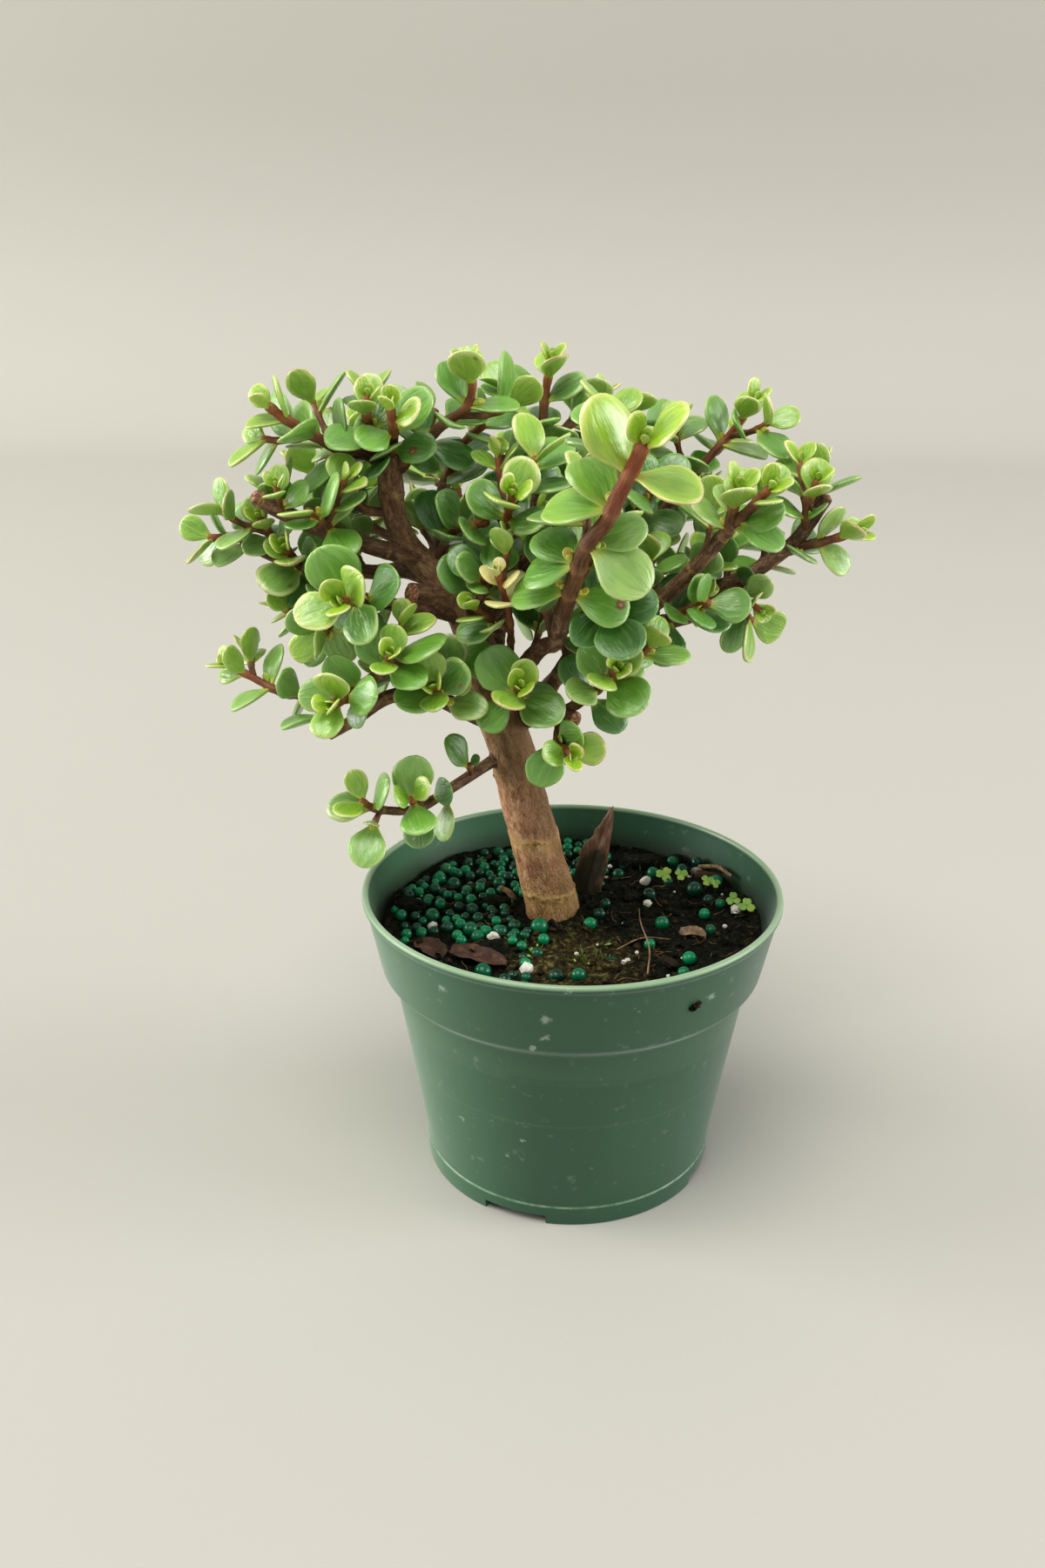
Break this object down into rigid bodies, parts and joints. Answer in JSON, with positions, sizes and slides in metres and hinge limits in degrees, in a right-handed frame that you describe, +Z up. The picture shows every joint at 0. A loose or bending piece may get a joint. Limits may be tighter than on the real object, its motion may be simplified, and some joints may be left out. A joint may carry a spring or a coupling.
{
  "type": "potted dwarf jade bonsai",
  "caption": "Small variegated dwarf jade bonsai with a leaning woody trunk, forking limbs and round fleshy leaves in pairs, growing in a tapered plastic nursery pot filled with soil.",
  "frame": {"origin": "middle of the flat disc under the pot, on the surface that the pot stands on", "axes": "+Z up along the pot's axis, +X to the right and -Y to the front in the main view"},
  "size_m": [0.2034, 0.154, 0.2614],
  "materials": {
    "pot_plastic": "satin",
    "potting_mix": "matte",
    "bark": "matte",
    "leaf": "satin",
    "dry_leaf": "matte"
  },
  "bodies": {
    "root": {"pot": "pot_plastic", "soil": "potting_mix", "trunk": "bark", "back_left_side": "leaf", "back_left_tip": "leaf", "back_low": "leaf", "back_mid_left": "leaf", "back_mid_right": "leaf", "back_right_side": "leaf", "back_right_tip": "leaf", "back_tip": "leaf", "bud_left": "leaf", "centre_pair": "leaf", "cream_sprig": "leaf", "far_left": "leaf", "far_right_side": "leaf", "far_right_top": "leaf", "front_arch": "leaf", "inner_fork": "leaf", "inner_front": "leaf", "inner_front_right": "leaf", "inner_right_back": "leaf", "inner_right_low": "leaf", "inner_right_side": "leaf", "inner_right_top": "leaf", "inner_top_front": "leaf", "inner_top_right": "leaf", "inner_up_back": "leaf", "inner_up_left": "leaf", "inner_up_right": "leaf", "left_bud": "leaf", "left_crown": "leaf", "left_cut_sprig": "leaf", "left_over": "leaf", "left_under": "leaf", "low_left_long": "leaf", "low_right": "leaf", "lowest_mid": "leaf", "lowest_tip": "leaf", "pair_centre": "leaf", "pair_left": "leaf", "peak_left": "leaf", "peak_mid": "leaf", "right_fan": "leaf", "right_spire": "leaf", "right_sprig": "leaf", "rosette_left": "leaf", "rosette_mid": "leaf", "rosette_right": "leaf", "rosette_small": "leaf", "dead_leaf_upright": "dry_leaf", "fallen_leaf_front": "dry_leaf", "fallen_leaf_left": "dry_leaf", "fallen_leaf_right": "dry_leaf"}
  },
  "joints": []
}
